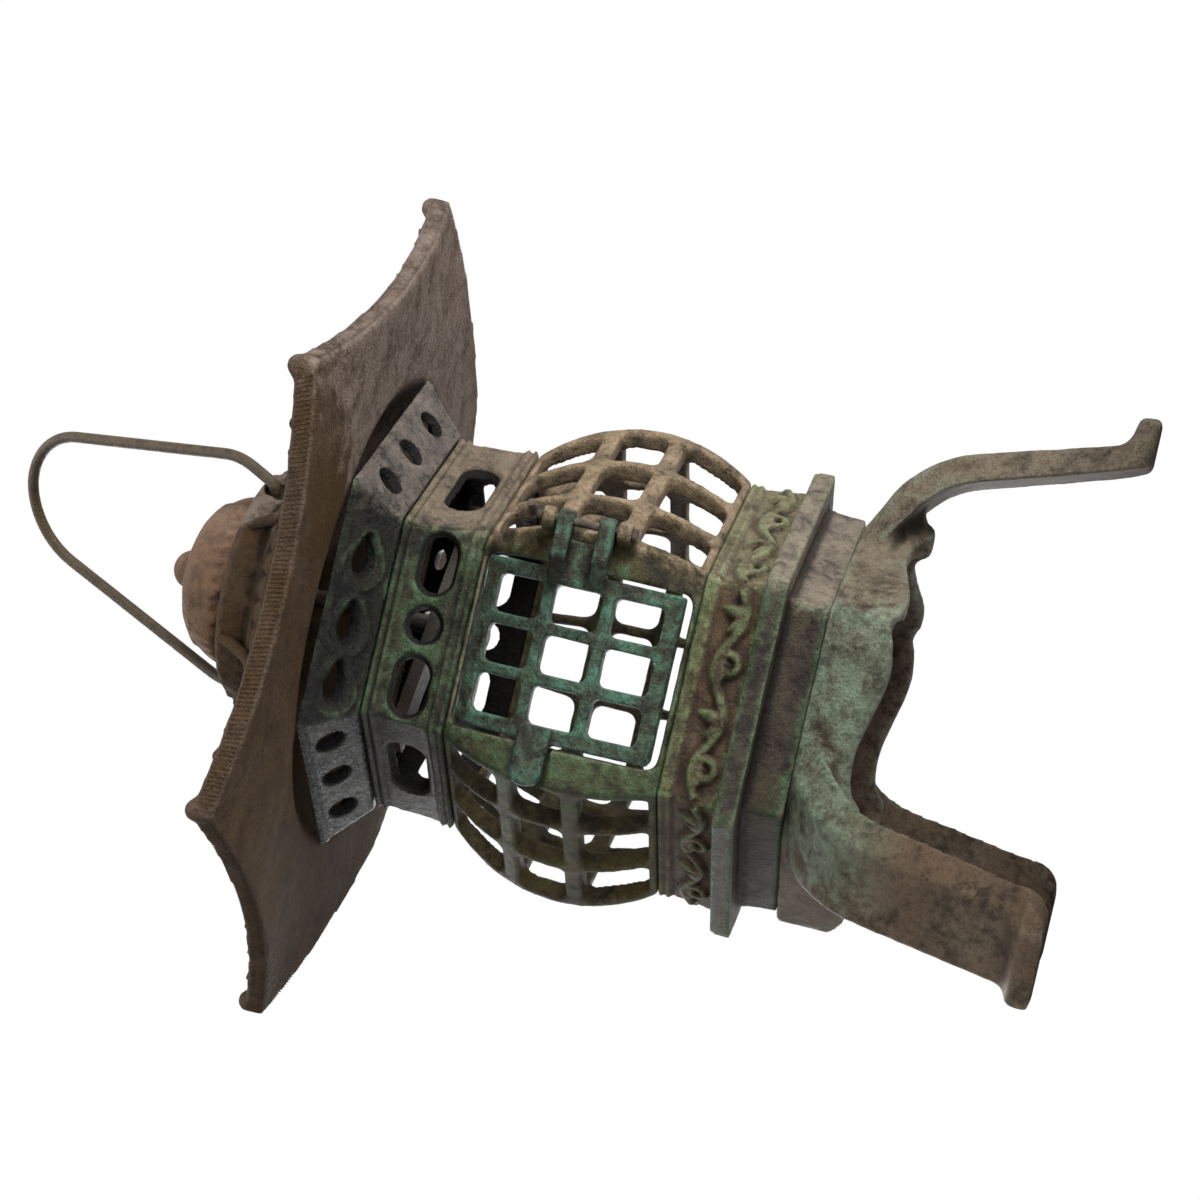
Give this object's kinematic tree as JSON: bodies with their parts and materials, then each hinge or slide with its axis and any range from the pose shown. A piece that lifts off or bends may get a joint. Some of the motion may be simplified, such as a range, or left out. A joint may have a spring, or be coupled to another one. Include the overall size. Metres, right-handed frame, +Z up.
{
  "type": "hanging lantern",
  "caption": "Hexagonal cast-iron candle lantern with an upswept roof, a swinging wire bail, a pierced bellied body with a hinged lattice door, and a splayed three-legged stand.",
  "frame": {"origin": "under the lantern's axis, on the plane of the feet", "axes": "+Z up along the lantern's axis; the door faces -Y, with its hinge on the +X side"},
  "size_m": [0.27, 0.2348, 0.365],
  "materials": {
    "roof_iron": "brown rust over rough cast iron",
    "bail_wire": "olive-brown rusted steel wire",
    "collar_iron": "black and brown patina with dull green",
    "neck_iron": "green and brown patina",
    "lattice_iron": "green patina worn to brown and black",
    "door_iron": "green patina worn to brown and black",
    "band_iron": "green-brown patina",
    "tray_iron": "brown iron with green on its rim",
    "stand_iron": "brown rust with patches of green",
    "pin_steel": "rusted steel",
    "hidden_steel": "dull steel with light rust",
    "cup_steel": "dull sheet steel"
  },
  "bodies": {
    "lantern": {"roof": "roof_iron", "finial": "roof_iron", "finial_stud": "hidden_steel", "bridge_bar": "hidden_steel", "stud_washer": "hidden_steel", "stud_nut": "hidden_steel", "crown_collar": "collar_iron", "neck_band": "neck_iron", "fire_box": "lattice_iron", "hinge_pin": "pin_steel", "scroll_band": "band_iron", "base_tray": "tray_iron", "leg_stand": "stand_iron", "candle_cup": "cup_steel", "cup_rivet": "cup_steel", "base_bolts": "hidden_steel", "base_nuts": "hidden_steel"},
    "door": {"door": "door_iron"},
    "bail": {"hanging_bail": "bail_wire"}
  },
  "joints": [
    {"name": "door_hinge", "type": "hinge", "parent": "lantern", "child": "door", "pos_m": [0.0405, -0.07015, 0.15785], "axis": [0, 0, 1], "range_deg": [0, 110]},
    {"name": "bail_hinge", "type": "hinge", "parent": "lantern", "child": "bail", "pos_m": [0, 0, 0.2677], "axis": [0.866, -0.5, 0], "range_deg": [-76, 114]}
  ]
}
